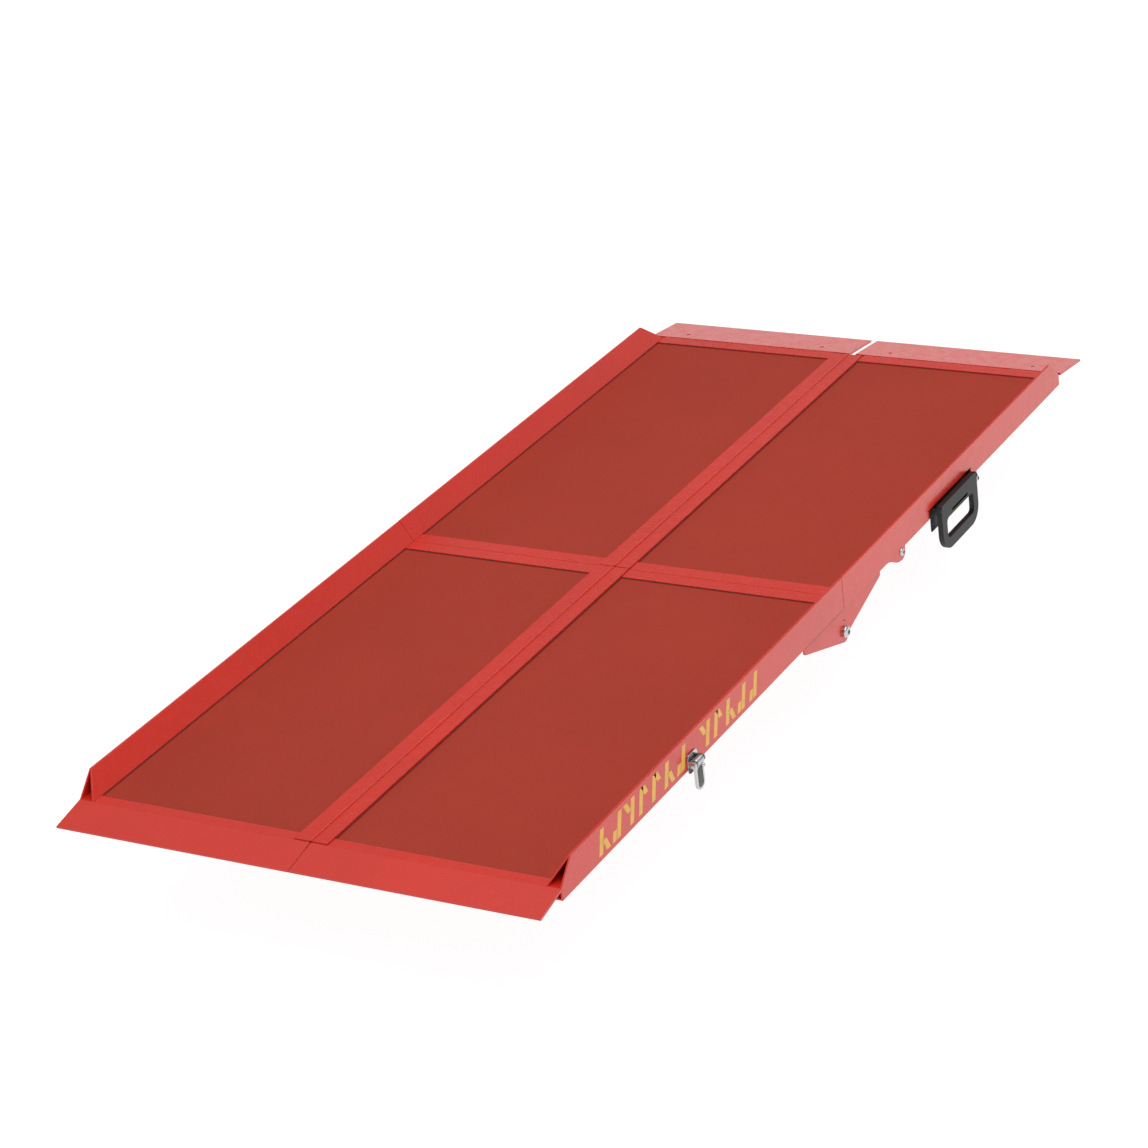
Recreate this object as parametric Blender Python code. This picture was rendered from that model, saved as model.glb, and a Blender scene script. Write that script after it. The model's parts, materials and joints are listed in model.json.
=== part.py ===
"""Portable wheelchair ramp: two long halves, each hinged across its middle, with kerbs, lips,
carrying handles and draw latches.

Every shape is laid out in ramp coordinates: x runs up the ramp from the lower fold line, y is
measured from the centre line, z from the top of the frame. One empty carries the whole ramp, so
that the lowest point stands on z = 0 with the ramp centred over the origin. Each moving section
has an empty on its own hinge axis.
"""
import math

import bmesh
import bpy
from mathutils import Matrix, Vector

# ---------------------------------------------------------------- driving dimensions (metres)
HALF_WIDTH = 0.380          # centre line to the outer face of the side wall
RUN = 1.683                 # lower fold line to the upper end of the frame
SEAM_X = 0.843              # where the lower and upper sections butt
GAP = 0.0003                # clearance between pieces that touch
SEAM_CLEARANCE = 0.0003     # each side of the seam
WALL = 0.0025               # sheet thickness of the rails
FLANGE = 0.0030             # top flange thickness
SIDE_DEPTH = 0.018          # side wall below the top of the frame
KERB_HEIGHT = 0.0315
KERB_FOOT = 0.3566          # centre line to the foot of the kerb's inner slope
KERB_RIDGE = 0.0035         # flat width along the top of the kerb
KERB_SETBACK_LOW = 0.032    # how far the kerb's end leans back at the lower end
KERB_SETBACK_HIGH = 0.036
INNER_GAP = 0.0020          # centre line to the web of a centre rail
CENTRE_FLANGE = 0.026       # centre line to the edge of a centre rail's flange
LOW_MARGIN = 0.0187         # width of each cross strip
SEAM_MARGIN = 0.0255
HIGH_MARGIN = 0.0210
SHEET_TOP = -0.0018         # top of the recessed grip sheet
SHEET_THICKNESS = 0.0012
PANEL_TOP = -0.0033
PANEL_THICKNESS = 0.0100
PANEL_EDGE = 0.3700         # centre line to the outer edge of the core panel

STRIP_TOP = 0.0015          # top of the hinge leaves along the centre line
CENTRE_HINGE_Z = 0.0016
CENTRE_KNUCKLE = 0.0015
CENTRE_NECK = (-0.0011, -0.0002)
CENTRE_BORE = 0.0009
CENTRE_PIN = 0.0006
CENTRE_KNUCKLES = 7

PIVOT_Z = -0.056            # cross fold axis, below the deck
BOSS_RADIUS = 0.0165        # round end of the lower gusset
UPPER_BOSS_RADIUS = 0.0140  # round end of the upper gusset, behind the lower one
GUSSET_CORNER = 0.0045
PLATE_THICKNESS = 0.0024
PLATE_FACE = 0.3770         # outer face of the lower gusset plate, inside the side wall
GUSSET_LOW = 0.130          # reach of the gussets along the ramp
GUSSET_HIGH = 0.137
GUSSET_END = -0.0315        # lowest point of a gusset's far end

LIP_THICKNESS = 0.0035
LOW_LIP = (0.057, 0.0107)   # reach and drop of the lower lip
LIP_HINGE_X = RUN + 0.0038
LIP_HINGE_Z = -0.0031
LIP_KNUCKLE = 0.0028
LIP_NECK = (-0.0013, 0.0013)
LIP_BORE = 0.0016
LIP_PIN = 0.0012
LIP_KNUCKLES = 5
HIGH_LIP_TIP = RUN + 0.0950
HIGH_LIP_SLOPE = math.radians(7.5)
HIGH_LIP_HOLES = (0.064, 0.322)
HIGH_LIP_HOLE_X = RUN + 0.030
HIGH_LIP_HOLE = 0.0033

HANDLE_X = SEAM_X + 0.3965
HANDLE_PIN_Y = 0.3870
HANDLE_PIN_Z = -0.0125
HANDLE_PIN = 0.0025
HANDLE_WIDTH = 0.1355
HANDLE_TOP = -0.0048
HANDLE_BOTTOM = -0.0848
HANDLE_INNER = 0.3836       # inner and outer faces of the loop
HANDLE_OUTER = 0.3920
HANDLE_GAP = (-0.0325, -0.0665)  # top and bottom of the gap for the fingers
HANDLE_ARM = 0.0170
RECESS = (-0.0900, 0.0740)  # ends of the recess behind the handle, from the handle's middle
RECESS_TOP = -0.0026
POCKET = (0.3704, 0.3728)   # inner and outer faces of the recess's back wall
POCKET_BOTTOM = -0.0250
BASE_TOP = -0.0130
BASE_BOTTOM = -0.0470
BASE_FACE = 0.3755          # its face, set back so that the loop's top edge can swing past

LATCH_X = SEAM_X - 0.485
LATCH_WIDTH = 0.0285
LATCH_TOP = 0.005
LATCH_BOTTOM = -0.024
LATCH_FACE = HALF_WIDTH + GAP
LATCH_PLATE = 0.0018
LATCH_PIN_Z = -0.0080
LATCH_PIN_Y = 0.3895
LATCH_PIN = 0.0018
LOOP_WIDTH = 0.0220
LOOP_BOTTOM = -0.050
LOOP_BAR = 0.0036

STUD_X = SEAM_X + 0.204
STUD_Z = -0.0232
KEEPER_X = SEAM_X + 0.485
KEEPER_Z = -0.0270

LEFT, RIGHT = 1, -1
SIDES = {"right": RIGHT, "left": LEFT}
ROUND = 24                  # sides of a round piece

RED = ("ramp_red_paint", (0.56, 0.020, 0.012, 1.0), 0.25, 0.0)
GRIP_RED = ("grip_sheet_red", (0.26, 0.030, 0.020, 1.0), 0.75, 0.0)
CORE = ("core_panel", (0.55, 0.55, 0.53, 1.0), 0.6, 0.0)
BLACK = ("black_plastic", (0.030, 0.032, 0.034, 1.0), 0.45, 0.0)
GREY = ("grey_plastic", (0.13, 0.13, 0.135, 1.0), 0.5, 0.0)
CHROME = ("bright_steel", (0.80, 0.80, 0.80, 1.0), 0.18, 1.0)

# ---------------------------------------------------------------- bodies and their hinge axes
BODIES = {"right_lower": (0.0, 0.0, 0.0)}
for side_name, side_sign in SIDES.items():
    BODIES[side_name + "_upper"] = (SEAM_X, side_sign * HALF_WIDTH, PIVOT_Z)
    BODIES[side_name + "_upper_lip"] = (LIP_HINGE_X, side_sign * 0.190, LIP_HINGE_Z)
    BODIES[side_name + "_handle"] = (HANDLE_X, side_sign * HANDLE_PIN_Y, HANDLE_PIN_Z)
    BODIES[side_name + "_latch"] = (LATCH_X, side_sign * LATCH_PIN_Y, LATCH_PIN_Z)
BODIES["left_lower"] = (SEAM_X, 0.0, CENTRE_HINGE_Z)

EMPTIES = {}


# ---------------------------------------------------------------- geometry helpers
def clear_scene():
    for thing in list(bpy.data.objects):
        bpy.data.objects.remove(thing, do_unlink=True)


def place(point, axis, along):
    """A 2D outline point and a distance along the swept axis, as a 3D point."""
    if axis == "x":
        return Vector((along, point[0], point[1]))
    if axis == "y":
        return Vector((point[0], along, point[1]))
    return Vector((point[0], point[1], along))


def prism(outline, axis, start, end):
    """Closed solid made by sweeping a flat outline along one axis."""
    mesh = bmesh.new()
    mesh.faces.new([mesh.verts.new(place(point, axis, start)) for point in outline])
    swept = bmesh.ops.extrude_face_region(mesh, geom=mesh.faces[:])
    moved = [item for item in swept["geom"] if isinstance(item, bmesh.types.BMVert)]
    bmesh.ops.translate(mesh, verts=moved, vec=place((0.0, 0.0), axis, end - start))
    bmesh.ops.recalc_face_normals(mesh, faces=mesh.faces[:])
    return mesh


def arc(centre, radius, first, last, steps):
    """Points on a circle from one angle to another, in degrees."""
    angles = [math.radians(first + (last - first) * i / steps) for i in range(steps + 1)]
    return [(centre[0] + radius * math.cos(a), centre[1] + radius * math.sin(a)) for a in angles]


def circle(centre, radius, sides=ROUND):
    return arc(centre, radius, 0.0, 360.0, sides)[:-1]


def rounded_box(centre, width, height, radius, steps=5):
    """Rectangle with round corners, counter-clockwise."""
    outline = []
    dx = width / 2 - radius
    dy = height / 2 - radius
    for sx, sy, first in ((1, 1, 0), (-1, 1, 90), (-1, -1, 180), (1, -1, 270)):
        corner = (centre[0] + sx * dx, centre[1] + sy * dy)
        outline += arc(corner, radius, first, first + 90, steps)
    return outline


def knuckle_outline(centre, radius, neck, reach):
    """Round knuckle with a flat neck between two heights; reach is signed along the first axis."""
    low, high = neck
    first = math.degrees(math.asin(high / radius))
    last = 360.0 + math.degrees(math.asin(low / radius))
    outline = arc((0.0, 0.0), radius, first, last, 16) + [(abs(reach), low), (abs(reach), high)]
    facing = 1 if reach > 0 else -1
    return [(centre[0] + facing * point[0], centre[1] + point[1]) for point in outline]


def merged(solids):
    """Several separate solids in one mesh, for a helper made of repeated shapes."""
    whole = bmesh.new()
    for solid in solids:
        data = bpy.data.meshes.new("part")
        solid.to_mesh(data)
        solid.free()
        whole.from_mesh(data)
        bpy.data.meshes.remove(data)
    return whole


def material(recipe):
    """Principled material from a name, colour, roughness and metallic value."""
    name, colour, roughness, metallic = recipe
    made = bpy.data.materials.get(name)
    if made is None:
        made = bpy.data.materials.new(name)
        made.use_nodes = True
        shader = made.node_tree.nodes["Principled BSDF"]
        shader.inputs["Base Color"].default_value = colour
        shader.inputs["Roughness"].default_value = roughness
        shader.inputs["Metallic"].default_value = metallic
        made.diffuse_color = colour
    return made


def add_object(name, solid, body):
    """Object whose mesh, laid out in ramp coordinates, hangs on its body's hinge axis."""
    bmesh.ops.translate(solid, verts=solid.verts, vec=-Vector(BODIES[body]))
    data = bpy.data.meshes.new(name)
    solid.to_mesh(data)
    solid.free()
    thing = bpy.data.objects.new(name, data)
    bpy.context.collection.objects.link(thing)
    thing.parent = EMPTIES[body]
    return thing


def piece(name, solid, recipe, body, smooth=False):
    """One finished sub-part with its own material."""
    thing = add_object(name, solid, body)
    thing.data.materials.append(material(recipe))
    if smooth:
        thing.data.shade_smooth()
        thing.data.set_sharp_from_angle(angle=math.radians(35))
    return thing


def change(thing, operation, solid, body):
    """Boolean union or difference between a sub-part and a hidden helper solid."""
    tag = thing.name + "_" + operation.lower() + str(len(thing.modifiers))
    helper = add_object(tag, solid, body)
    helper.hide_render = True
    helper.display_type = "WIRE"
    modifier = thing.modifiers.new(operation.title(), "BOOLEAN")
    modifier.operation = operation
    modifier.solver = "EXACT"
    modifier.object = helper


def span_y(side, near, far):
    """Start and end of a sweep across the ramp on one side, in rising order."""
    return tuple(sorted((side * near, side * far)))


def box(x_range, y_range, z_range):
    outline = [(x_range[0], z_range[0]), (x_range[1], z_range[0]),
               (x_range[1], z_range[1]), (x_range[0], z_range[1])]
    return prism(outline, "y", y_range[0], y_range[1])


def mirrored(outline, side):
    """Cross-section given as (distance from the centre line, height), for either side."""
    return [(side * point[0], point[1]) for point in outline]


# ---------------------------------------------------------------- frame of one section
def section_span(level):
    """Ends of a lower or an upper section along the ramp."""
    if level == "lower":
        return 0.0, SEAM_X - SEAM_CLEARANCE
    return SEAM_X + SEAM_CLEARANCE, RUN


def section_margins(level):
    return (LOW_MARGIN, SEAM_MARGIN) if level == "lower" else (SEAM_MARGIN, HIGH_MARGIN)


def kerb_rail_outline():
    """Side wall, triangular kerb and the channel that holds the panel's edge."""
    return [(HALF_WIDTH, -SIDE_DEPTH), (HALF_WIDTH, KERB_HEIGHT),
            (HALF_WIDTH - KERB_RIDGE, KERB_HEIGHT), (KERB_FOOT, 0.0),
            (KERB_FOOT, -FLANGE), (HALF_WIDTH - WALL, -FLANGE),
            (HALF_WIDTH - WALL, -SIDE_DEPTH + WALL), (KERB_FOOT, -SIDE_DEPTH + WALL),
            (KERB_FOOT, -SIDE_DEPTH)]


def kerb_hollow_outline():
    """Triangular hollow inside the kerb, one sheet thickness in from its faces."""
    run = HALF_WIDTH - KERB_RIDGE - KERB_FOOT
    slope = KERB_HEIGHT / run
    inset = WALL * math.hypot(run, KERB_HEIGHT) / KERB_HEIGHT
    foot = KERB_FOOT + inset
    wall = HALF_WIDTH - WALL
    return [(foot, 0.0), (wall, 0.0), (wall, (wall - foot) * slope)]


def kerb_end_wedge(level, side):
    """Slanted cut at the free end of the kerb."""
    reach = KERB_SETBACK_LOW if level == "lower" else KERB_SETBACK_HIGH
    start, outward = (0.0, -1) if level == "lower" else (RUN, 1)
    top = 2 * KERB_HEIGHT
    outline = [(start, 0.0), (start + outward * 0.02, 0.0),
               (start + outward * 0.02, top), (start - outward * 2 * reach, top)]
    return prism(outline, "y", *span_y(side, KERB_FOOT - 0.01, HALF_WIDTH + 0.01))


def gusset_outline(reach, direction, radius, top):
    """Plate hung from the side wall: a straight edge at the seam, a round end at the pivot and a
    long lower edge running up to a far end with a round corner."""
    corner = (SEAM_X + direction * (reach - GUSSET_CORNER), GUSSET_END + GUSSET_CORNER)
    away = Vector((corner[0] - SEAM_X, corner[1] - PIVOT_Z))
    lean = math.degrees(math.atan2(away.y, away.x))
    turn = math.degrees(math.acos((radius - GUSSET_CORNER) / away.length))
    tangent = (lean - direction * turn) % 360.0
    near_x = SEAM_X + direction * SEAM_CLEARANCE
    if direction > 0:
        boss = arc((SEAM_X, PIVOT_Z), radius, 90.0, tangent, 18)
        far = arc(corner, GUSSET_CORNER, tangent, 360.0, 5)
    else:
        boss = arc((SEAM_X, PIVOT_Z), radius, 90.0, tangent - 360.0, 18)
        far = arc(corner, GUSSET_CORNER, tangent, 180.0, 5)
    end_x = SEAM_X + direction * reach
    return [(near_x, top), (near_x, PIVOT_Z + radius)] + boss + far + [(end_x, top)]


def swell_outline(bolt, radius, run, top):
    """Tab under the side wall: an S-shaped lower edge swelling into a round end at its bolt."""
    first = 250.0
    start = (bolt[0] + radius * math.cos(math.radians(first)),
             bolt[1] + radius * math.sin(math.radians(first)))
    curve = []
    for i in range(9):
        share = i / 9
        ease = (1 - math.cos(math.pi * share)) / 2
        curve.append((start[0] - run * (1 - share), -SIDE_DEPTH + (start[1] + SIDE_DEPTH) * ease))
    return ([(curve[0][0], top)] + curve + arc(bolt, radius, first, 360.0, 10)
            + [(bolt[0] + radius, top)])


def build_kerb_rail(name, side, level, body):
    """Side wall with its kerb, and on an upper section the gusset and the bolt tabs."""
    start, end = section_span(level)
    rail = piece(name, prism(mirrored(kerb_rail_outline(), side), "x", start, end), RED, body)
    hollow = prism(mirrored(kerb_hollow_outline(), side), "x", start - 0.01, end + 0.01)
    change(rail, "DIFFERENCE", hollow, body)
    change(rail, "DIFFERENCE", kerb_end_wedge(level, side), body)
    if level == "lower":
        slot_y = span_y(side, PLATE_FACE - PLATE_THICKNESS - GAP, HALF_WIDTH - WALL)
        slot_x = (SEAM_X - GUSSET_LOW - GAP, SEAM_X + 0.01)
        change(rail, "DIFFERENCE", box(slot_x, slot_y, (-0.030, -SIDE_DEPTH + 2 * WALL)), body)
        return
    wall = span_y(side, HALF_WIDTH - WALL, HALF_WIDTH)
    tab_top = -SIDE_DEPTH + WALL
    back = PLATE_FACE - PLATE_THICKNESS - GAP
    plate = gusset_outline(GUSSET_HIGH, 1, UPPER_BOSS_RADIUS, tab_top - 0.0010)
    tabs = [prism(plate, "y", *span_y(side, back - PLATE_THICKNESS, back)),
            prism(swell_outline((STUD_X, STUD_Z), 0.0130, 0.050, tab_top), "y", *wall),
            prism(swell_outline((KEEPER_X, KEEPER_Z), 0.0070, 0.014, tab_top), "y", *wall)]
    change(rail, "UNION", merged(tabs), body)
    through = span_y(side, 0.36, 0.40)
    holes = [prism(circle((SEAM_X, PIVOT_Z), 0.0043), "y", *through),
             prism(circle((STUD_X, STUD_Z), 0.0033), "y", *through),
             prism(circle((KEEPER_X, KEEPER_Z), 0.0033), "y", *through)]
    recess = (HANDLE_X + RECESS[0], HANDLE_X + RECESS[1])
    depth = span_y(side, POCKET[1] - 0.0010, 0.40)
    holes.append(box(recess, depth, (-0.030, RECESS_TOP)))
    change(rail, "DIFFERENCE", merged(holes), body)
    back = box((recess[0] - 0.004, recess[1] + 0.004), span_y(side, *POCKET),
               (POCKET_BOTTOM, RECESS_TOP + 0.0012))
    change(rail, "UNION", back, body)


def build_centre_rail(name, side, level, body):
    """Channel along the centre line, open towards the panel."""
    start, end = section_span(level)
    bottom = PANEL_TOP - PANEL_THICKNESS - GAP
    outline = [(INNER_GAP, 0.0), (CENTRE_FLANGE, 0.0), (CENTRE_FLANGE, -FLANGE),
               (INNER_GAP + WALL, -FLANGE), (INNER_GAP + WALL, bottom),
               (CENTRE_FLANGE - 0.002, bottom), (CENTRE_FLANGE - 0.002, bottom - WALL),
               (INNER_GAP, bottom - WALL)]
    piece(name, prism(mirrored(outline, side), "x", start, end), RED, body)


def end_rail_outline(at, inward, margin):
    """Channel across the end of a section, open towards the panel."""
    bottom = -SIDE_DEPTH
    return [(at, 0.0), (at + inward * margin, 0.0), (at + inward * margin, -FLANGE),
            (at + inward * WALL, -FLANGE), (at + inward * WALL, bottom + WALL),
            (at + inward * margin, bottom + WALL), (at + inward * margin, bottom), (at, bottom)]


def build_end_rails(prefix, side, level, body):
    start, end = section_span(level)
    low, high = section_margins(level)
    across = span_y(side, CENTRE_FLANGE + GAP, KERB_FOOT - GAP)
    piece(prefix + "_low_end_rail", prism(end_rail_outline(start, 1, low), "y", *across), RED, body)
    rail = piece(prefix + "_high_end_rail", prism(end_rail_outline(end, -1, high), "y", *across),
                 RED, body)
    if level == "upper":
        change(rail, "UNION", lip_knuckles(side, 0, -1), body)
        bore = prism(circle((LIP_HINGE_X, LIP_HINGE_Z), LIP_BORE), "y", *span_y(side, 0.01, 0.39))
        change(rail, "DIFFERENCE", bore, body)


def build_panel(prefix, side, level, body):
    """Stiff core panel held in the channels, and the grip sheet bonded on its top."""
    start, end = section_span(level)
    low, high = section_margins(level)
    reach = (start + WALL + GAP, end - WALL - GAP)
    core_y = span_y(side, INNER_GAP + WALL + GAP, PANEL_EDGE)
    core = box(reach, core_y, (PANEL_TOP - PANEL_THICKNESS, PANEL_TOP))
    piece(prefix + "_core_panel", core, CORE, body)
    sheet_x = (start + low + 0.0005, end - high - 0.0005)
    sheet_y = span_y(side, CENTRE_FLANGE + 0.0005, KERB_FOOT - 0.0005)
    sheet = box(sheet_x, sheet_y, (SHEET_TOP - SHEET_THICKNESS, SHEET_TOP))
    piece(prefix + "_grip_sheet", sheet, GRIP_RED, body)


# ---------------------------------------------------------------- hinges and lips
def knuckle_spans(start, end, count, parity):
    """Every second length of a hinge line, with clearance at both ends of each."""
    step = (end - start) / count
    return [(start + i * step + GAP, start + (i + 1) * step - GAP)
            for i in range(parity, count, 2)]


def build_centre_hinge(level):
    """Leaf on each centre rail, with interleaved knuckles and one pin."""
    start, end = section_span(level)
    reach = (start + 0.0006, end - 0.0006)
    centre = (0.0, CENTRE_HINGE_Z)
    for parity, (name, side) in enumerate(SIDES.items()):
        body = name + "_" + level
        leaf = box(reach, span_y(side, INNER_GAP, CENTRE_FLANGE), (GAP, STRIP_TOP))
        leaf = piece(name + "_" + level + "_centre_hinge_leaf", leaf, RED, body, smooth=True)
        outline = knuckle_outline(centre, CENTRE_KNUCKLE, CENTRE_NECK, side * 0.0034)
        knuckles = [prism(outline, "x", *span)
                    for span in knuckle_spans(*reach, CENTRE_KNUCKLES, parity)]
        change(leaf, "UNION", merged(knuckles), body)
        bore = prism(circle(centre, CENTRE_BORE, 12), "x", start - 0.01, end + 0.01)
        change(leaf, "DIFFERENCE", bore, body)
    pin = prism(circle(centre, CENTRE_PIN, 12), "x", reach[0], reach[1])
    piece(level + "_centre_hinge_pin", pin, CHROME, "right_" + level, smooth=True)


def build_low_lip(name, side, body):
    """Fixed sloping lip with a tab against the end rail."""
    reach, drop = LOW_LIP
    slope = math.atan2(drop, reach)
    under = LIP_THICKNESS / math.cos(slope)
    outline = [(-GAP, 0.0), (-reach, -drop), (-reach, -drop - under * 0.75),
               (-reach + 0.0012, -drop - under), (-GAP - LIP_THICKNESS, -under - 0.0007),
               (-GAP - LIP_THICKNESS, -under - 0.0009), (-GAP, -under - 0.0009)]
    lip = piece(name, prism(outline, "y", *span_y(side, 0.0008, HALF_WIDTH)), RED, body)
    tab = box((-GAP - LIP_THICKNESS, -GAP), span_y(side, 0.030, 0.345), (-0.0165, -0.002))
    change(lip, "UNION", tab, body)


def lip_knuckles(side, parity, direction):
    """Knuckles of the upper lip's hinge with necks reaching back or forward to their plate."""
    outline = knuckle_outline((LIP_HINGE_X, LIP_HINGE_Z), LIP_KNUCKLE, LIP_NECK,
                              direction * 0.0052)
    spans = knuckle_spans(CENTRE_FLANGE + 0.002, KERB_FOOT - 0.002, LIP_KNUCKLES, parity)
    return merged([prism(outline, "y", *span_y(side, near, far)) for near, far in spans])


def build_high_lip(name, side, body, frame_body):
    """Hinged lip plate at the upper end, with its pin."""
    plate_start = LIP_HINGE_X + LIP_KNUCKLE + 0.0006
    top = LIP_HINGE_Z + LIP_KNUCKLE
    run = HIGH_LIP_TIP - plate_start
    drop = run * math.tan(HIGH_LIP_SLOPE)
    outline = [(plate_start, top), (HIGH_LIP_TIP - 0.0006, top - drop),
               (HIGH_LIP_TIP, top - drop - 0.0008), (HIGH_LIP_TIP, top - drop - LIP_THICKNESS),
               (plate_start, top - LIP_THICKNESS - 0.0006)]
    inner = 0.0012 if side == LEFT else 0.0098
    lip = piece(name + "_upper_lip", prism(outline, "y", *span_y(side, inner, HALF_WIDTH)), RED,
                body, smooth=True)
    change(lip, "UNION", lip_knuckles(side, 1, 1), body)
    bore = prism(circle((LIP_HINGE_X, LIP_HINGE_Z), LIP_BORE), "y", *span_y(side, 0.0, 0.39))
    holes = [prism(circle((HIGH_LIP_HOLE_X, side * at), HIGH_LIP_HOLE), "z", -0.03, 0.02)
             for at in HIGH_LIP_HOLES]
    change(lip, "DIFFERENCE", merged([bore] + holes), body)
    pin = prism(circle((LIP_HINGE_X, LIP_HINGE_Z), LIP_PIN, 16), "y",
                *span_y(side, CENTRE_FLANGE + 0.003, KERB_FOOT - 0.003))
    piece(name + "_upper_lip_pin", pin, CHROME, frame_body, smooth=True)


# ---------------------------------------------------------------- cross fold hardware
def build_gusset(name, side, body):
    """Plate inside the lower side wall that carries the cross fold pivot."""
    plate_y = span_y(side, PLATE_FACE - PLATE_THICKNESS, PLATE_FACE)
    outline = gusset_outline(GUSSET_LOW, -1, BOSS_RADIUS, -FLANGE - GAP)
    plate = piece(name, prism(outline, "y", *plate_y), RED, body, smooth=True)
    hole = prism(circle((SEAM_X, PIVOT_Z), 0.0043), "y", *span_y(side, 0.36, 0.40))
    change(plate, "DIFFERENCE", hole, body)


def turned(profile, centre, side):
    """Round piece turned about an axis across the ramp: (distance from centre line, radius)."""
    mesh = bmesh.new()
    rings = []
    for along, radius in profile:
        ring = [mesh.verts.new(place(point, "y", side * along))
                for point in circle(centre, radius)]
        rings.append(ring)
    for first, second in zip(rings, rings[1:]):
        for i in range(ROUND):
            j = (i + 1) % ROUND
            mesh.faces.new((first[i], first[j], second[j], second[i]))
    mesh.faces.new(rings[0])
    mesh.faces.new(rings[-1])
    bmesh.ops.recalc_face_normals(mesh, faces=mesh.faces[:])
    return mesh


def dome_bolt(centre, side, shank, head, grip_from, rise, spacer=0.0):
    """Domed bolt with its nut inside; spacer is how far its collar reaches in from the head."""
    face = HALF_WIDTH + GAP
    nut = shank * 1.6
    dome = [(face + rise * math.sin(math.radians(a)), head * math.cos(math.radians(a)))
            for a in (0, 20, 40, 60, 78)]
    profile = [(grip_from - 0.004, nut), (grip_from, nut), (grip_from, shank),
               (face - spacer, shank)]
    if spacer:
        profile += [(face - spacer, 0.75 * head), (face, 0.75 * head)]
    return turned(profile + dome, centre, side)


def build_bolts(name, side):
    lower, upper = name + "_lower", name + "_upper"
    inner = PLATE_FACE - 2 * (PLATE_THICKNESS + GAP)
    spacer = HALF_WIDTH - PLATE_FACE
    pivot = dome_bolt((SEAM_X, PIVOT_Z), side, 0.0040, 0.0090, inner, 0.0042, spacer)
    piece(name + "_pivot_bolt", pivot, CHROME, lower, smooth=True)
    wall = HALF_WIDTH - WALL - GAP
    stud = dome_bolt((STUD_X, STUD_Z), side, 0.0030, 0.0065, wall, 0.0035)
    piece(name + "_stop_bolt", stud, CHROME, upper, smooth=True)
    keeper = dome_bolt((KEEPER_X, KEEPER_Z), side, 0.0030, 0.0070, wall, 0.0055)
    piece(name + "_keeper_bolt", keeper, CHROME, upper, smooth=True)


# ---------------------------------------------------------------- handle
def corner_arc(corner, radius, first, steps):
    """Quarter circle rounding one corner; first is the angle its arc starts at."""
    turn = math.radians(first + 45.0)
    inset = radius * math.sqrt(2.0)
    centre = (corner[0] - inset * math.cos(turn), corner[1] - inset * math.sin(turn))
    return arc(centre, radius, first, first + 90.0, steps)


def handle_outline():
    """Outer shape of the loop: small corners at the top, large ones under the hand."""
    left, right = HANDLE_X - HANDLE_WIDTH / 2, HANDLE_X + HANDLE_WIDTH / 2
    return (corner_arc((right, HANDLE_TOP), 0.0085, 0.0, 5)
            + corner_arc((left, HANDLE_TOP), 0.0065, 90.0, 5)
            + corner_arc((left, HANDLE_BOTTOM), 0.0300, 180.0, 10)
            + corner_arc((right, HANDLE_BOTTOM), 0.0280, 270.0, 10))


def build_handle_base(name, side, body):
    """Black block in the recess with an ear at each end, and the pin between the ears."""
    half = HANDLE_WIDTH / 2 + 0.0036
    ends = (HANDLE_X - half, HANDLE_X + half)
    pin_at = (side * HANDLE_PIN_Y, HANDLE_PIN_Z)
    block = box(ends, span_y(side, POCKET[1] + GAP, BASE_FACE), (BASE_BOTTOM, BASE_TOP))
    base = piece(name + "_handle_base", block, BLACK, body, smooth=True)
    ear = knuckle_outline(pin_at, 0.0052, (-0.0045, 0.0045),
                          -side * (HANDLE_PIN_Y - BASE_FACE + 0.002))
    ears = [prism(ear, "x", *sorted((end, end + inward * 0.0030)))
            for end, inward in ((ends[0], 1), (ends[1], -1))]
    change(base, "UNION", merged(ears), body)
    bore = prism(circle(pin_at, HANDLE_PIN + GAP), "x", ends[0] + 0.0010, ends[1] - 0.0010)
    change(base, "DIFFERENCE", bore, body)
    pin = prism(circle(pin_at, HANDLE_PIN), "x", ends[0] + 0.0013, ends[1] - 0.0013)
    piece(name + "_handle_pin", pin, CHROME, body, smooth=True)


def build_handle_loop(name, side, body):
    """Carrying loop with a slot in its top bar and a gap for the fingers."""
    depth = span_y(side, HANDLE_INNER, HANDLE_OUTER)
    through = span_y(side, 0.37, 0.41)
    loop = piece(name + "_handle_loop", prism(handle_outline(), "y", *depth), BLACK, body,
                 smooth=True)
    top, bottom = HANDLE_GAP
    finger = rounded_box((HANDLE_X, (top + bottom) / 2), HANDLE_WIDTH - 2 * HANDLE_ARM,
                         top - bottom, 0.0075, 5)
    slot = rounded_box((HANDLE_X, top + 0.0065), 0.060, 0.0042, 0.0020, 4)
    bore = prism(circle((side * HANDLE_PIN_Y, HANDLE_PIN_Z), HANDLE_PIN + GAP), "x",
                 HANDLE_X - HANDLE_WIDTH, HANDLE_X + HANDLE_WIDTH)
    cuts = [prism(finger, "y", *through), prism(slot, "y", *through), bore]
    change(loop, "DIFFERENCE", merged(cuts), body)


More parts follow.
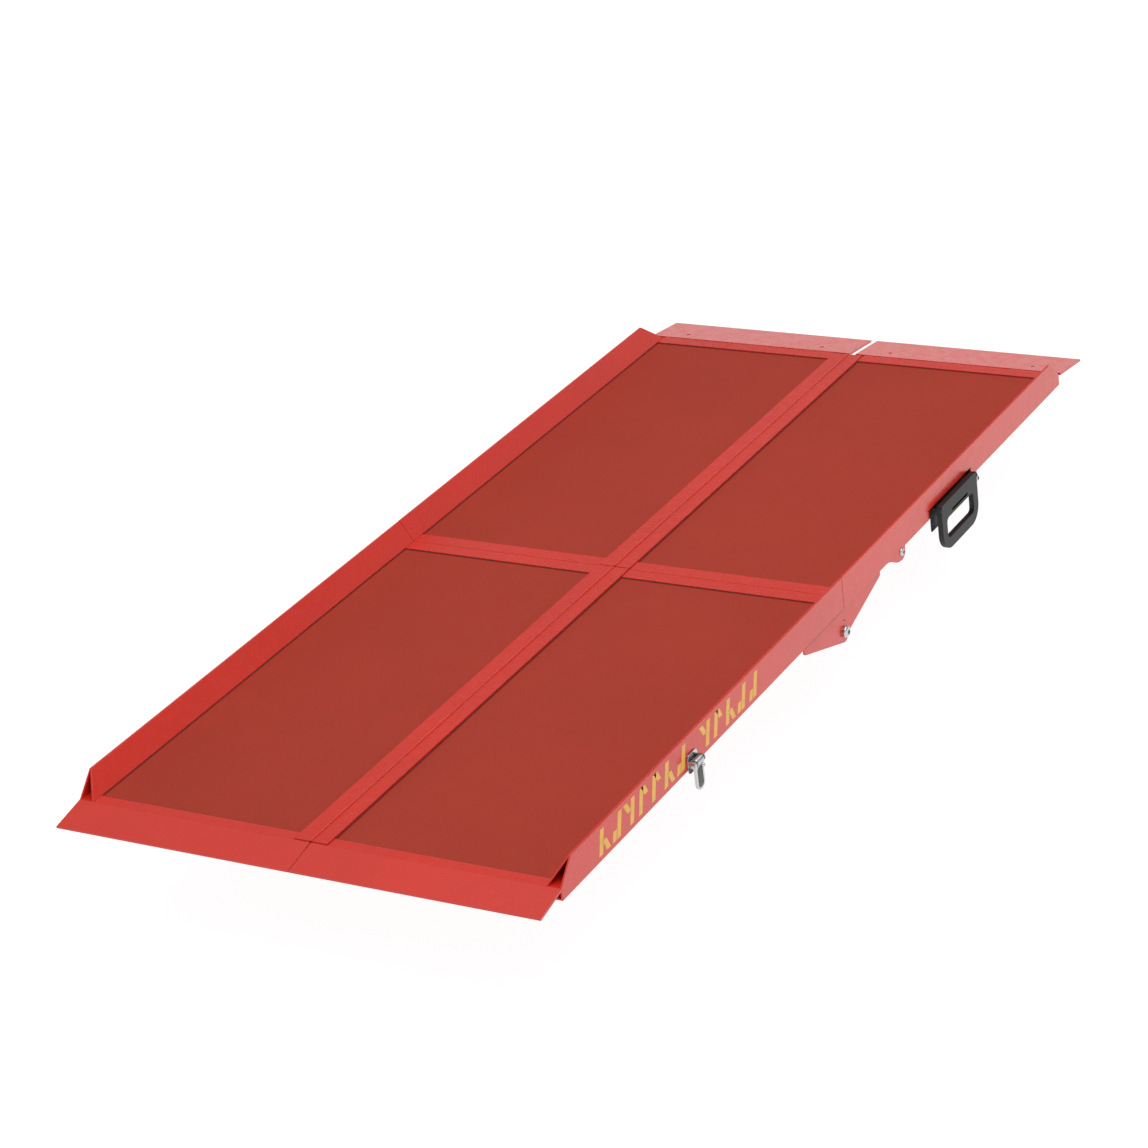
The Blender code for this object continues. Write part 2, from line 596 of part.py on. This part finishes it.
# ---------------------------------------------------------------- latch
def build_latch(name, side):
    """Latch plate with two ears on the lower side wall, and a swinging pull loop."""
    lower, body = name + "_lower", name + "_latch"
    half = LATCH_WIDTH / 2
    plate_x = (LATCH_X - half, LATCH_X + half)
    outline = rounded_box((LATCH_X, (LATCH_BOTTOM + LATCH_TOP) / 2), LATCH_WIDTH,
                          LATCH_TOP - LATCH_BOTTOM, 0.0065, 6)
    plate = prism(outline, "y", *span_y(side, LATCH_FACE, LATCH_FACE + LATCH_PLATE))
    plate = piece(name + "_latch_plate", plate, CHROME, lower, smooth=True)
    pin_at = (side * LATCH_PIN_Y, LATCH_PIN_Z)
    ears = []
    ear = knuckle_outline(pin_at, 0.0050, (-0.0046, 0.0046),
                          -side * (LATCH_PIN_Y - LATCH_FACE - 0.0006))
    for end, inward in ((plate_x[0] + 0.0005, 1), (plate_x[1] - 0.0005, -1)):
        ears.append(prism(ear, "x", *sorted((end, end + inward * 0.0022))))
    change(plate, "UNION", merged(ears), lower)
    hole = prism(circle(pin_at, LATCH_PIN + GAP), "x", plate_x[0] - 0.01, plate_x[1] + 0.01)
    change(plate, "DIFFERENCE", hole, lower)
    pin = prism(circle(pin_at, LATCH_PIN), "x", plate_x[0] - 0.0010, plate_x[1] + 0.0010)
    piece(name + "_latch_pin", pin, CHROME, lower, smooth=True)

    loop_y = span_y(side, LATCH_PIN_Y - 0.0018, LATCH_PIN_Y + 0.0018)
    top = LATCH_PIN_Z + 0.0034
    centre = (LATCH_X, (top + LOOP_BOTTOM) / 2)
    height = top - LOOP_BOTTOM
    ring = rounded_box(centre, LOOP_WIDTH, height, LOOP_WIDTH / 2 - 0.0004, 8)
    ring = piece(name + "_latch_loop", prism(ring, "y", *loop_y), CHROME, body, smooth=True)
    barrel = prism(circle(pin_at, 0.0042), "x", LATCH_X - LOOP_WIDTH / 2 + 0.0004,
                   LATCH_X + LOOP_WIDTH / 2 - 0.0004)
    change(ring, "UNION", barrel, body)
    window_bottom = LOOP_BOTTOM + LOOP_BAR
    window_top = LATCH_PIN_Z - 0.0070
    window = rounded_box((LATCH_X, (window_top + window_bottom) / 2), LOOP_WIDTH - 2 * LOOP_BAR,
                         window_top - window_bottom, 0.0055, 6)
    bore = prism(circle(pin_at, LATCH_PIN + GAP), "x", plate_x[0], plate_x[1])
    change(ring, "DIFFERENCE", merged([prism(window, "y", *span_y(side, 0.37, 0.41)), bore]), body)
    pad_height = window_top - window_bottom - 2 * GAP
    pad = rounded_box((LATCH_X, (window_top + window_bottom) / 2),
                      LOOP_WIDTH - 2 * LOOP_BAR - 2 * GAP, pad_height, 0.0052, 6)
    pad_y = span_y(side, LATCH_PIN_Y - 0.0012, LATCH_PIN_Y + 0.0012)
    piece(name + "_latch_pad", prism(pad, "y", *pad_y), GREY, body, smooth=True)


# ---------------------------------------------------------------- the whole ramp
def build_empties():
    """One empty for the ramp, lifted onto its lowest point, and one on each hinge axis."""
    ramp = bpy.data.objects.new("ramp_axes", None)
    bpy.context.collection.objects.link(ramp)
    middle = (HIGH_LIP_TIP - LOW_LIP[0]) / 2
    ramp.location = (-middle, 0.0, -HANDLE_BOTTOM)
    for name, location in BODIES.items():
        empty = bpy.data.objects.new(name + "_axis", None)
        empty.location = location
        empty.parent = ramp
        bpy.context.collection.objects.link(empty)
        EMPTIES[name] = empty


def build_section(name, side, level):
    prefix = name + "_" + level
    build_kerb_rail(prefix + "_kerb_rail", side, level, prefix)
    build_centre_rail(prefix + "_centre_rail", side, level, prefix)
    build_end_rails(prefix, side, level, prefix)
    build_panel(prefix, side, level, prefix)


def main():
    clear_scene()
    build_empties()
    for name, side in SIDES.items():
        for level in ("lower", "upper"):
            build_section(name, side, level)
        build_low_lip(name + "_lower_lip", side, name + "_lower")
        build_high_lip(name, side, name + "_upper_lip", name + "_upper")
        build_gusset(name + "_lower_gusset", side, name + "_lower")
        build_bolts(name, side)
        build_handle_base(name, side, name + "_upper")
        build_handle_loop(name, side, name + "_handle")
        build_latch(name, side)
    for level in ("lower", "upper"):
        build_centre_hinge(level)
    bpy.context.view_layer.update()


main()
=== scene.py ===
"""Looks of the folding wheelchair ramp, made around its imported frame.

The frame gives every place and size. Named offsets below are in metres and repeat the design's own.
"""
import json
import math

import bmesh
import bpy
from mathutils import Matrix, Vector


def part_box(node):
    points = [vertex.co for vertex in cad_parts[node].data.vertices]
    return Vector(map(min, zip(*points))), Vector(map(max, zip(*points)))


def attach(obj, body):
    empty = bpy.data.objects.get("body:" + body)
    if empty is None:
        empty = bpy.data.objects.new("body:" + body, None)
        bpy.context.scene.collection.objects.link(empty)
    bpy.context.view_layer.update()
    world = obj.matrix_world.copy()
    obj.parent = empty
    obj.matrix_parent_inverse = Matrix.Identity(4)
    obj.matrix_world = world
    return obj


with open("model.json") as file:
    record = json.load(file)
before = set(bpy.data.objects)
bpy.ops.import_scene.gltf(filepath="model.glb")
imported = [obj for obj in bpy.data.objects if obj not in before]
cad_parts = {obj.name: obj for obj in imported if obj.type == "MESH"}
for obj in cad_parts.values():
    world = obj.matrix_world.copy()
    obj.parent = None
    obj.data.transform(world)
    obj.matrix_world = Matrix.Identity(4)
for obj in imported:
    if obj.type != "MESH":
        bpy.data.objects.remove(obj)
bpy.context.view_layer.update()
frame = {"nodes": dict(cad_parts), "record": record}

SIDES = {"right": -1, "left": 1}
LEVELS = ("lower", "upper")
RAMP_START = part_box("right_lower_lip")[1].x          # lower fold line
SEAM_X = (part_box("right_lower_kerb_rail")[1].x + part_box("right_upper_centre_rail")[0].x) / 2
DECK_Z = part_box("right_lower_centre_rail")[1].z      # top of the painted frame
HALF_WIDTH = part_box("left_lower_kerb_rail")[1].y
FLOOR_Z = -0.085                                     # below the lowest folded position
LATCH_X = (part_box("right_latch_plate")[0].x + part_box("right_latch_plate")[1].x) / 2
LATCH_PIN_Y = (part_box("left_latch_pin")[0].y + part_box("left_latch_pin")[1].y) / 2
LATCH_PIN_Z = (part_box("left_latch_pin")[0].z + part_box("left_latch_pin")[1].z) / 2

WALL_DROP = 0.018            # side wall below the deck
WALL_THICKNESS = 0.0012
PLATE_STEP = 0.0027          # the upper gusset plate lies this far inside the lower one
# length of the painted shade strip under the wall on the upper gusset
UPPER_SHADE_LENGTH = 0.135

MARK_LOW, MARK_HIGH = DECK_Z - 0.0105, DECK_Z + 0.0245
MARK_START = RAMP_START + 0.098
MARK_COUNT, MARK_PITCH = 13, 0.0362
BAR_WIDTH = 0.0102
PRINT_BACK, PRINT_FRONT = 0.00002, 0.00012    # printed layer, out from the wall
LATCH_CLEAR = 0.026          # no mark is centred closer to the latch

SPRING_RADIUS, SPRING_WIRE = 0.0052, 0.00062
SPRING_TURNS, STEPS_PER_TURN = 12, 14
KNOB_RADIUS, KNOB_REACH = 0.0034, 0.0084      # its head, and how far that is from the pin
KNOB_OFFSET = 0.0040         # along the pin
PAD_RIBS, RIB_HALF, RIB_RISE = 7, 0.0006, 0.0006

CAMERA_LENS = 105.5
CAMERA_PLACE = (-3.054, -2.389, 2.169)        # from the middle of the lower fold line
CAMERA_AHEAD = (0.7637, 0.4823, -0.4291)
CAMERA_UP = (0.4298, 0.1160, 0.8954)


# ---------------------------------------------------------------- shader helpers
def new_material(name):
    made = bpy.data.materials.new(name)
    made.use_nodes = True
    tree = made.node_tree
    return made, tree, tree.nodes["Principled BSDF"]


def add_node(tree, kind, **values):
    """A shader node with its settings and, by input name, its constants."""
    node = tree.nodes.new(kind)
    for key, value in values.items():
        if hasattr(node, key):
            setattr(node, key, value)
        else:
            node.inputs[key.replace("_", " ")].default_value = value
    return node


def object_coordinates(tree):
    return add_node(tree, "ShaderNodeTexCoord").outputs["Object"]


def noise(tree, scale, detail=3.0, roughness=0.5):
    """Noise factor fixed to the object's own coordinates."""
    node = add_node(tree, "ShaderNodeTexNoise", Scale=scale, Detail=detail, Roughness=roughness)
    tree.links.new(object_coordinates(tree), node.inputs["Vector"])
    return node.outputs["Fac"]


def ramp(tree, factor, stops):
    """Colour ramp; stops are (position, colour)."""
    node = add_node(tree, "ShaderNodeValToRGB")
    elements = node.color_ramp.elements
    while len(elements) < len(stops):
        elements.new(0.5)
    for element, (position, colour) in zip(elements, stops):
        element.position = position
        element.color = colour
    tree.links.new(factor, node.inputs["Fac"])
    return node.outputs["Color"]


def spread(tree, factor, low, high):
    """Maps a noise factor to a range."""
    node = add_node(tree, "ShaderNodeMapRange")
    node.inputs["From Min"].default_value = 0.3
    node.inputs["From Max"].default_value = 0.7
    node.inputs["To Min"].default_value = low
    node.inputs["To Max"].default_value = high
    tree.links.new(factor, node.inputs["Value"])
    return node.outputs["Result"]


def bump(tree, shader, height, strength, distance, before=None):
    node = add_node(tree, "ShaderNodeBump", Strength=strength, Distance=distance)
    tree.links.new(height, node.inputs["Height"])
    if before is not None:
        tree.links.new(before, node.inputs["Normal"])
    tree.links.new(node.outputs["Normal"], shader.inputs["Normal"])
    return node.outputs["Normal"]


def grey(value):
    return (value, value, value, 1.0)


def scaled(colour, factor):
    return (colour[0] * factor, colour[1] * factor, colour[2] * factor, 1.0)


# ---------------------------------------------------------------- materials
def paint_material():
    """Glossy red enamel on metal: slight tone drift, faint orange peel, dulled patches."""
    made, tree, shader = new_material("glossy_red_paint")
    colour = (0.62, 0.021, 0.007, 1.0)
    tones = ramp(tree, noise(tree, 5.0, 4.0, 0.6),
                 [(0.30, scaled(colour, 0.94)), (0.55, colour), (0.75, scaled(colour, 1.05))])
    tree.links.new(tones, shader.inputs["Base Color"])
    tree.links.new(spread(tree, noise(tree, 60.0, 5.0, 0.6), 0.20, 0.34),
                   shader.inputs["Roughness"])
    shader.inputs["Coat Weight"].default_value = 0.28
    shader.inputs["Coat Roughness"].default_value = 0.10
    shader.inputs["IOR"].default_value = 1.5
    bump(tree, shader, noise(tree, 260.0, 2.0), 0.06, 0.0003)
    return made


def grip_material():
    """Matt anti-slip coating: fine sharp grit, speckled darker and lighter."""
    made, tree, shader = new_material("anti_slip_grip")
    colour = (0.365, 0.036, 0.019, 1.0)
    patches = ramp(tree, noise(tree, 7.0, 4.0, 0.55),
                   [(0.32, scaled(colour, 0.97)), (0.68, scaled(colour, 1.03))])
    grit = noise(tree, 700.0, 2.0, 0.6)
    speckle = ramp(tree, grit, [(0.36, grey(0.82)), (0.50, grey(1.0)), (0.64, grey(1.16))])
    mixed = add_node(tree, "ShaderNodeMix", data_type="RGBA", blend_type="MULTIPLY")
    mixed.inputs["Factor"].default_value = 1.0
    tree.links.new(patches, mixed.inputs["A"])
    tree.links.new(speckle, mixed.inputs["B"])
    tree.links.new(mixed.outputs["Result"], shader.inputs["Base Color"])
    tree.links.new(spread(tree, grit, 0.70, 0.92), shader.inputs["Roughness"])
    shader.inputs["Specular IOR Level"].default_value = 0.22
    bump(tree, shader, grit, 0.55, 0.0008)
    return made


def plastic_material(name, colour, roughness, texture_scale, gloss=0.5):
    """Moulded plastic with a fine spark-eroded grain."""
    made, tree, shader = new_material(name)
    shader.inputs["Specular IOR Level"].default_value = gloss
    tones = ramp(tree, noise(tree, 30.0, 3.0), [(0.3, scaled(colour, 0.88)),
                                                (0.7, scaled(colour, 1.12))])
    tree.links.new(tones, shader.inputs["Base Color"])
    grain = noise(tree, texture_scale, 2.0)
    tree.links.new(spread(tree, grain, roughness - 0.06, roughness + 0.08),
                   shader.inputs["Roughness"])
    bump(tree, shader, grain, 0.25, 0.0003)
    return made


def bright_metal_material(name, colour, roughness):
    """Plated steel with faint smears and hairline marks."""
    made, tree, shader = new_material(name)
    tones = ramp(tree, noise(tree, 80.0, 4.0), [(0.3, scaled(colour, 0.86)), (0.7, colour)])
    tree.links.new(tones, shader.inputs["Base Color"])
    shader.inputs["Metallic"].default_value = 1.0
    tree.links.new(spread(tree, noise(tree, 220.0, 5.0), roughness * 0.7, roughness * 1.5),
                   shader.inputs["Roughness"])
    bump(tree, shader, noise(tree, 900.0, 2.0), 0.06, 0.0002)
    return made


def mark_material():
    """Yellow enamel of the printed marks, slightly thin so that it takes some red."""
    made, tree, shader = new_material("yellow_print")
    colour = (0.80, 0.43, 0.055, 1.0)
    tree.links.new(ramp(tree, noise(tree, 90.0, 4.0, 0.6),
                        [(0.3, scaled(colour, 0.86)), (0.7, scaled(colour, 1.05))]),
                   shader.inputs["Base Color"])
    shader.inputs["Roughness"].default_value = 0.38
    return made


def board_material():
    """Back of the sandwich panel: resin-rich sheet in a dull red."""
    made, tree, shader = new_material("panel_board")
    colour = (0.33, 0.030, 0.022, 1.0)
    fibre = noise(tree, 140.0, 6.0, 0.7)
    tree.links.new(ramp(tree, fibre, [(0.3, scaled(colour, 0.8)), (0.7, scaled(colour, 1.15))]),
                   shader.inputs["Base Color"])
    shader.inputs["Roughness"].default_value = 0.55
    bump(tree, shader, fibre, 0.2, 0.0003)
    return made


PAINT = paint_material()
GRIP = grip_material()
BLACK = plastic_material("black_moulded_plastic", (0.014, 0.0155, 0.016, 1.0), 0.46, 1400.0, 0.30)
GREY = plastic_material("grey_moulded_plastic", (0.13, 0.13, 0.135, 1.0), 0.50, 1400.0)
CHROME = bright_metal_material("bright_plated_steel", (0.60, 0.60, 0.61, 1.0), 0.20)
BOARD = board_material()
MARK = mark_material()
# Painted shade: dark material of the strips that stand in for shadow lines at the grip sheet and
# gusset edges.
PAINTED_SHADE = plastic_material("painted_shade_strip", (0.060, 0.016, 0.012, 1.0), 0.55, 900.0)
# Painted shade: near-black material of the flat hexagons that stand in for the shaded bolt sockets.
SOCKET_SHADE = plastic_material("painted_socket_shade", (0.012, 0.012, 0.013, 1.0), 0.40, 900.0)

SLOT_MATERIALS = {"red_paint": PAINT, "grip_sheet": GRIP, "core": BOARD, "black_plastic": BLACK,
                  "grey_plastic": GREY, "bright_steel": CHROME}


# ---------------------------------------------------------------- frame nodes
def dress_frame():
    """Every frame node takes the finished material of its slot."""
    slots = {part["node"]: part["material_slot"] for part in frame["record"]["subparts"]}
    for name, node in frame["nodes"].items():
        node.data.materials.clear()
        node.data.materials.append(SLOT_MATERIALS[slots[name]])


def soften(name, width, segments=2):
    """Rounds the sharp edges of a frame node with modifiers, leaving its mesh alone."""
    node = frame["nodes"][name]
    weld = node.modifiers.new("Weld", "WELD")
    weld.merge_threshold = 0.00001
    bevel = node.modifiers.new("Bevel", "BEVEL")
    bevel.width = width
    bevel.segments = segments
    bevel.limit_method = "ANGLE"
    bevel.angle_limit = math.radians(32)
    bevel.harden_normals = True


def soften_frame():
    for side in SIDES:
        for level in LEVELS:
            prefix = side + "_" + level
            soften(prefix + "_kerb_rail", 0.0005)
            for part in ("_centre_rail", "_low_end_rail", "_high_end_rail"):
                soften(prefix + part, 0.0006)
        soften(side + "_lower_lip", 0.0008)
        soften(side + "_upper_lip", 0.0008)
        soften(side + "_handle_loop", 0.0028, 4)
        soften(side + "_handle_base", 0.0008)
        soften(side + "_latch_plate", 0.0006)
        soften(side + "_latch_loop", 0.0009, 3)


# ---------------------------------------------------------------- added pieces
def add_piece(name, mesh, material, body, smooth=True):
    """A finished mesh piece that moves with one body."""
    bmesh.ops.recalc_face_normals(mesh, faces=mesh.faces)
    data = bpy.data.meshes.new(name)
    mesh.to_mesh(data)
    mesh.free()
    data.materials.append(material)
    if smooth:
        data.shade_smooth()
        data.set_sharp_from_angle(angle=math.radians(40))
    made = bpy.data.objects.new(name, data)
    bpy.context.collection.objects.link(made)
    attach(made, body)
    return made


def add_slab(mesh, outline, start, end):
    """Flat outline of (x, z) points made solid between two y values."""
    near = [mesh.verts.new((x, start, z)) for x, z in outline]
    far = [mesh.verts.new((x, end, z)) for x, z in outline]
    mesh.faces.new(near)
    mesh.faces.new(list(reversed(far)))
    for i in range(len(outline)):
        j = (i + 1) % len(outline)
        mesh.faces.new((near[i], far[i], far[j], near[j]))


def add_tube(mesh, path, radius, sides=8):
    """Round wire along a path of points, capped at both ends."""
    rings = []
    for i, point in enumerate(path):
        ahead = (path[min(i + 1, len(path) - 1)] - path[max(i - 1, 0)]).normalized()
        across = ahead.orthogonal() if i == 0 else (across - ahead * across.dot(ahead))
        across = across.normalized()
        above = ahead.cross(across)
        turns = [2 * math.pi * k / sides for k in range(sides)]
        rings.append([mesh.verts.new(point + radius * (across * math.cos(t) + above * math.sin(t)))
                      for t in turns])
    for first, second in zip(rings, rings[1:]):
        for k in range(sides):
            m = (k + 1) % sides
            mesh.faces.new((first[k], first[m], second[m], second[k]))
    mesh.faces.new(list(reversed(rings[0])))
    mesh.faces.new(rings[-1])


def add_turned(mesh, base, axis, profile, sides=24):
    """Profile of (radius, distance) points turned about an axis; it starts and ends on it."""
    axis = axis.normalized()
    across = axis.orthogonal().normalized()
    above = axis.cross(across)
    turns = [2 * math.pi * k / sides for k in range(sides)]
    rings = []
    for radius, distance in profile:
        centre = base + axis * distance
        if radius == 0.0:
            rings.append([mesh.verts.new(centre)] * sides)
        else:
            rings.append([mesh.verts.new(centre + radius * (across * math.cos(t)
                                                            + above * math.sin(t)))
                          for t in turns])
    for first, second in zip(rings, rings[1:]):
        for k in range(sides):
            m = (k + 1) % sides
            corners = dict.fromkeys((first[k], first[m], second[m], second[k]))
            mesh.faces.new(list(corners))


def build_marks(side, sign):
    """Printed marks on the lower side wall: generic stencil bars, leaning both ways in turn."""
    wall = sign * HALF_WIDTH
    low, high = MARK_LOW, MARK_HIGH
    middle = (low + high) / 2
    motifs = ((((0.000, low), (0.010, high)), ((0.013, middle), (0.021, low))),
              (((0.000, low), (0.010, high)), ((0.014, high), (0.021, middle + 0.004))),
              (((0.000, high), (0.009, middle + 0.002)), ((0.012, low), (0.022, high))),
              (((0.000, low), (0.005, middle - 0.003)), ((0.012, low), (0.022, high))))
    mesh = bmesh.new()
    start = MARK_START
    for i in range(MARK_COUNT):
        if abs(start + 0.016 - LATCH_X) > LATCH_CLEAR:
            for (x0, z0), (x1, z1) in motifs[(3 * i + i // 4) % 4]:
                outline = [(start + x0, z0), (start + x0 + BAR_WIDTH, z0),
                           (start + x1 + BAR_WIDTH, z1), (start + x1, z1)]
                add_slab(mesh, outline, wall + sign * PRINT_BACK, wall + sign * PRINT_FRONT)
        start += MARK_PITCH
    add_piece(side + "_printed_marks", mesh, MARK, side + "_lower", smooth=False)


def build_latch_details(side, sign):
    """Spring wound on the latch's barrel, a knob on its end, and ribs on the thumb pad."""
    pin = Vector((LATCH_X, sign * LATCH_PIN_Y, LATCH_PIN_Z))
    loop_low, loop_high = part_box(side + "_latch_loop")
    half = (loop_high.x - loop_low.x) / 2 - 0.0022
    spring = bmesh.new()
    path = []
    steps = STEPS_PER_TURN * SPRING_TURNS
    for i in range(steps + 1):
        turn = 2 * math.pi * i / STEPS_PER_TURN
        path.append(pin + Vector((-half + 2 * half * i / steps, SPRING_RADIUS * math.cos(turn),
                                  SPRING_RADIUS * math.sin(turn))))
    add_tube(spring, path, SPRING_WIRE)
    add_piece(side + "_latch_spring", spring, CHROME, side + "_latch")
    knob = bmesh.new()
    stem = [(0.0, 0.0032), (0.0021, 0.0034), (0.0015, 0.0044), (0.0014, 0.0052)]
    head = [(KNOB_RADIUS * math.sin(math.radians(a)),
             KNOB_REACH - KNOB_RADIUS * math.cos(math.radians(a))) for a in range(27, 170, 17)]
    add_turned(knob, pin + Vector((KNOB_OFFSET, 0.0, 0.0)), Vector((0.0, sign * 0.60, -0.80)),
               stem + head + [(0.0, KNOB_REACH + KNOB_RADIUS)])
    add_piece(side + "_latch_knob", knob, CHROME, side + "_latch")
    pad_low, pad_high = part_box(side + "_latch_pad")
    face = pad_high.y if sign > 0 else pad_low.y
    ribs = bmesh.new()
    reach = (pad_high.x - pad_low.x) / 2 - 0.0014
    for i in range(PAD_RIBS):
        z = pad_low.z + 0.0045 + (pad_high.z - pad_low.z - 0.0090) * i / (PAD_RIBS - 1)
        add_slab(ribs, [(LATCH_X - reach, z - RIB_HALF), (LATCH_X + reach, z - RIB_HALF),
                        (LATCH_X + reach, z + RIB_HALF), (LATCH_X - reach, z + RIB_HALF)],
                 face - sign * 0.0002, face + sign * RIB_RISE)
    add_piece(side + "_latch_pad_ribs", ribs, GREY, side + "_latch", smooth=False)


def build_sockets(side, sign):
    """Painted shade: a near-black flat hexagon on each bolt head stands in for the shaded hollow of
    its hex socket.
    """
    for bolt, body, radius in (("_pivot_bolt", "_lower", 0.0036), ("_stop_bolt", "_upper", 0.0026),
                               ("_keeper_bolt", "_upper", 0.0028)):
        low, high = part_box(side + bolt)
        face = high.y if sign > 0 else low.y
        outline = [((low.x + high.x) / 2 + radius * math.cos(math.radians(60 * k)),
                    (low.z + high.z) / 2 + radius * math.sin(math.radians(60 * k)))
                   for k in range(6)]
        mesh = bmesh.new()
        add_slab(mesh, outline, face - sign * 0.0006, face + sign * 0.0001)
        add_piece(side + bolt + "_socket", mesh, SOCKET_SHADE, side + body, smooth=False)


def build_grip_edge_painted_shade(side, level):
    """Painted shade: a thin near-black strip along each edge of every grip sheet, standing in for
    the shadow line where the sheet sits below its frame.
    """
    low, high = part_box(side + "_" + level + "_grip_sheet")
    shade_width, rise = 0.0016, 0.0004
    mesh = bmesh.new()
    for x_range, y_range in (((low.x, low.x + shade_width), (low.y, high.y)),
                             ((high.x - shade_width, high.x), (low.y, high.y)),
                             ((low.x + shade_width, high.x - shade_width), (low.y, low.y + shade_width)),
                             ((low.x + shade_width, high.x - shade_width), (high.y - shade_width, high.y))):
        outline = [(x_range[0], high.z + 0.00001), (x_range[1], high.z + 0.00001),
                   (x_range[1], high.z + rise), (x_range[0], high.z + rise)]
        add_slab(mesh, outline, *y_range)
    add_piece(side + "_" + level + "_edge_painted_shade", mesh, PAINTED_SHADE, side + "_" + level, smooth=False)


def build_gusset_edge_painted_shade(side, sign):
    """Painted shade: a dark strip in the corner between each gusset plate and the side wall's lower
    edge, standing in for the shadow line under the wall; thinner on the upper gusset.
    """
    wall_low = DECK_Z - WALL_DROP
    low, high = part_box(side + "_lower_gusset")
    face = max(abs(low.y), abs(high.y))
    for level, start, end, plate, drop in (
            ("lower", low.x + 0.001, SEAM_X - 0.001, face, 0.0017),
            ("upper", SEAM_X + 0.001, SEAM_X + UPPER_SHADE_LENGTH, face - PLATE_STEP, 0.0008)):
        mesh = bmesh.new()
        outline = [(start, wall_low - drop), (end, wall_low - drop),
                   (end, wall_low - 0.00002), (start, wall_low - 0.00002)]
        add_slab(mesh, outline, sign * (plate + 0.00002), sign * (HALF_WIDTH - WALL_THICKNESS))
        add_piece(side + "_" + level + "_gusset_painted_shade", mesh, PAINTED_SHADE, side + "_" + level,
                  smooth=False)


def build_details():
    for side, sign in SIDES.items():
        build_marks(side, sign)
        build_latch_details(side, sign)
        build_sockets(side, sign)
        build_gusset_edge_painted_shade(side, sign)
        for level in LEVELS:
            build_grip_edge_painted_shade(side, level)


# ---------------------------------------------------------------- stage, light and camera
def build_stage():
    """Pale floor that reads as a white studio sweep."""
    mesh = bmesh.new()
    bmesh.ops.create_grid(mesh, x_segments=1, y_segments=1, size=40.0)
    data = bpy.data.meshes.new("studio_floor")
    mesh.to_mesh(data)
    mesh.free()
    floor = bpy.data.objects.new("studio_floor", data)
    bpy.context.collection.objects.link(floor)
    floor.location = (0.0, 0.0, FLOOR_Z)
    made, _tree, shader = new_material("pale_floor")
    shader.inputs["Base Color"].default_value = grey(0.14)
    shader.inputs["Roughness"].default_value = 0.9
    shader.inputs["Emission Color"].default_value = grey(1.0)
    shader.inputs["Emission Strength"].default_value = 0.95
    data.materials.append(made)


def build_world():
    """White near the horizon, dimmer above it, light again overhead."""
    world = bpy.data.worlds.new("studio")
    bpy.context.scene.world = world
    world.use_nodes = True
    tree = world.node_tree
    background = tree.nodes["Background"]
    direction = add_node(tree, "ShaderNodeTexCoord").outputs["Generated"]
    split = add_node(tree, "ShaderNodeSeparateXYZ")
    tree.links.new(direction, split.inputs["Vector"])
    bands = ramp(tree, split.outputs["Z"],
                 [(0.0, grey(1.0)), (0.16, grey(1.0)), (0.33, grey(0.24)), (0.62, grey(0.34)),
                  (0.85, grey(0.95))])
    tree.links.new(bands, background.inputs["Color"])
    background.inputs["Strength"].default_value = 1.0


def area_light(name, location, target, size, energy):
    data = bpy.data.lights.new(name, "AREA")
    data.shape = "RECTANGLE"
    data.size, data.size_y = size
    data.energy = energy
    light = bpy.data.objects.new(name, data)
    light.location = location
    aim = Vector(target) - Vector(location)
    light.rotation_mode = "QUATERNION"
    light.rotation_quaternion = aim.to_track_quat("-Z", "Y")
    bpy.context.collection.objects.link(light)


def build_lights():
    area_light("overhead_softbox", (0.0, -0.6, 3.2), (0.0, 0.0, 0.0), (4.0, 3.0), 60.0)
    area_light("side_softbox", (-1.0, -4.2, 1.7), (0.0, 0.0, 0.0), (3.5, 2.0), 7.0)


def build_camera():
    """Long lens above and to the right of the lower end, rolled as the ramp lies in view."""
    data = bpy.data.cameras.new("camera")
    data.sensor_width = 36.0
    data.lens = CAMERA_LENS
    data.clip_start, data.clip_end = 0.05, 100.0
    camera = bpy.data.objects.new("camera", data)
    origin = Vector((RAMP_START, 0.0, DECK_Z))
    eye = origin + Vector(CAMERA_PLACE)
    ahead = Vector(CAMERA_AHEAD).normalized()
    across = ahead.cross(Vector(CAMERA_UP)).normalized()
    above = across.cross(ahead)
    axes = Matrix((across, above, -ahead)).transposed()
    camera.matrix_world = Matrix.Translation(eye) @ axes.to_4x4()
    bpy.context.collection.objects.link(camera)
    bpy.context.scene.camera = camera
    bpy.context.scene.view_settings.view_transform = "Standard"


dress_frame()
soften_frame()
build_details()
build_stage()
build_world()
build_lights()
build_camera()
